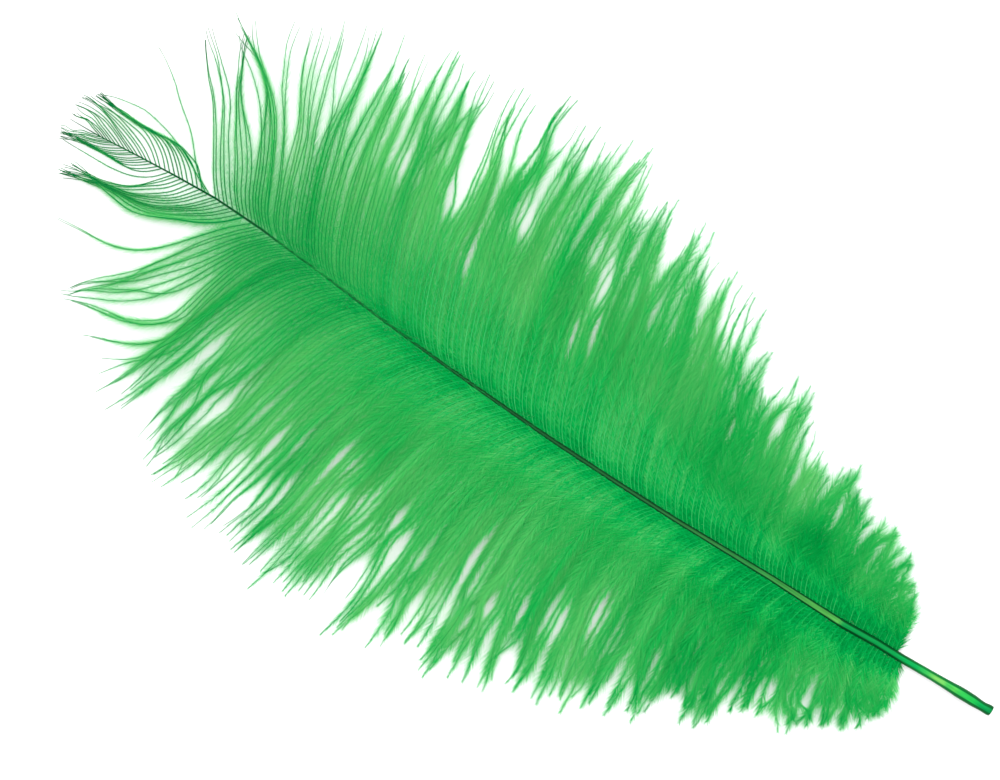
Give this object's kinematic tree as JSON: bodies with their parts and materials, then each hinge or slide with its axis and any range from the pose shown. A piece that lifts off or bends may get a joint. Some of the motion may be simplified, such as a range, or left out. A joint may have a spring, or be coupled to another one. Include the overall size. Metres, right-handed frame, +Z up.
{
  "type": "ostrich feather",
  "caption": "Dyed green ostrich plume lying flat: a slender cut quill and shaft with two full, soft vanes of loose drooping barbs, for trimming, costume or display.",
  "frame": {"origin": "centre of the plume's box, on the table it lies on", "axes": "+X along the shaft from the cut quill to the tip, +Y to the vane that is lower left in the picture, +Z up from the table"},
  "size_m": [0.301, 0.16, 0.0114],
  "materials": {
    "plume": "soft, matt, dyed emerald green, a little see-through at the edges",
    "quill": "horn with a low sheen, dyed green, paler where the groove is"
  },
  "bodies": {
    "root": {"feather": "plume"}
  },
  "joints": []
}
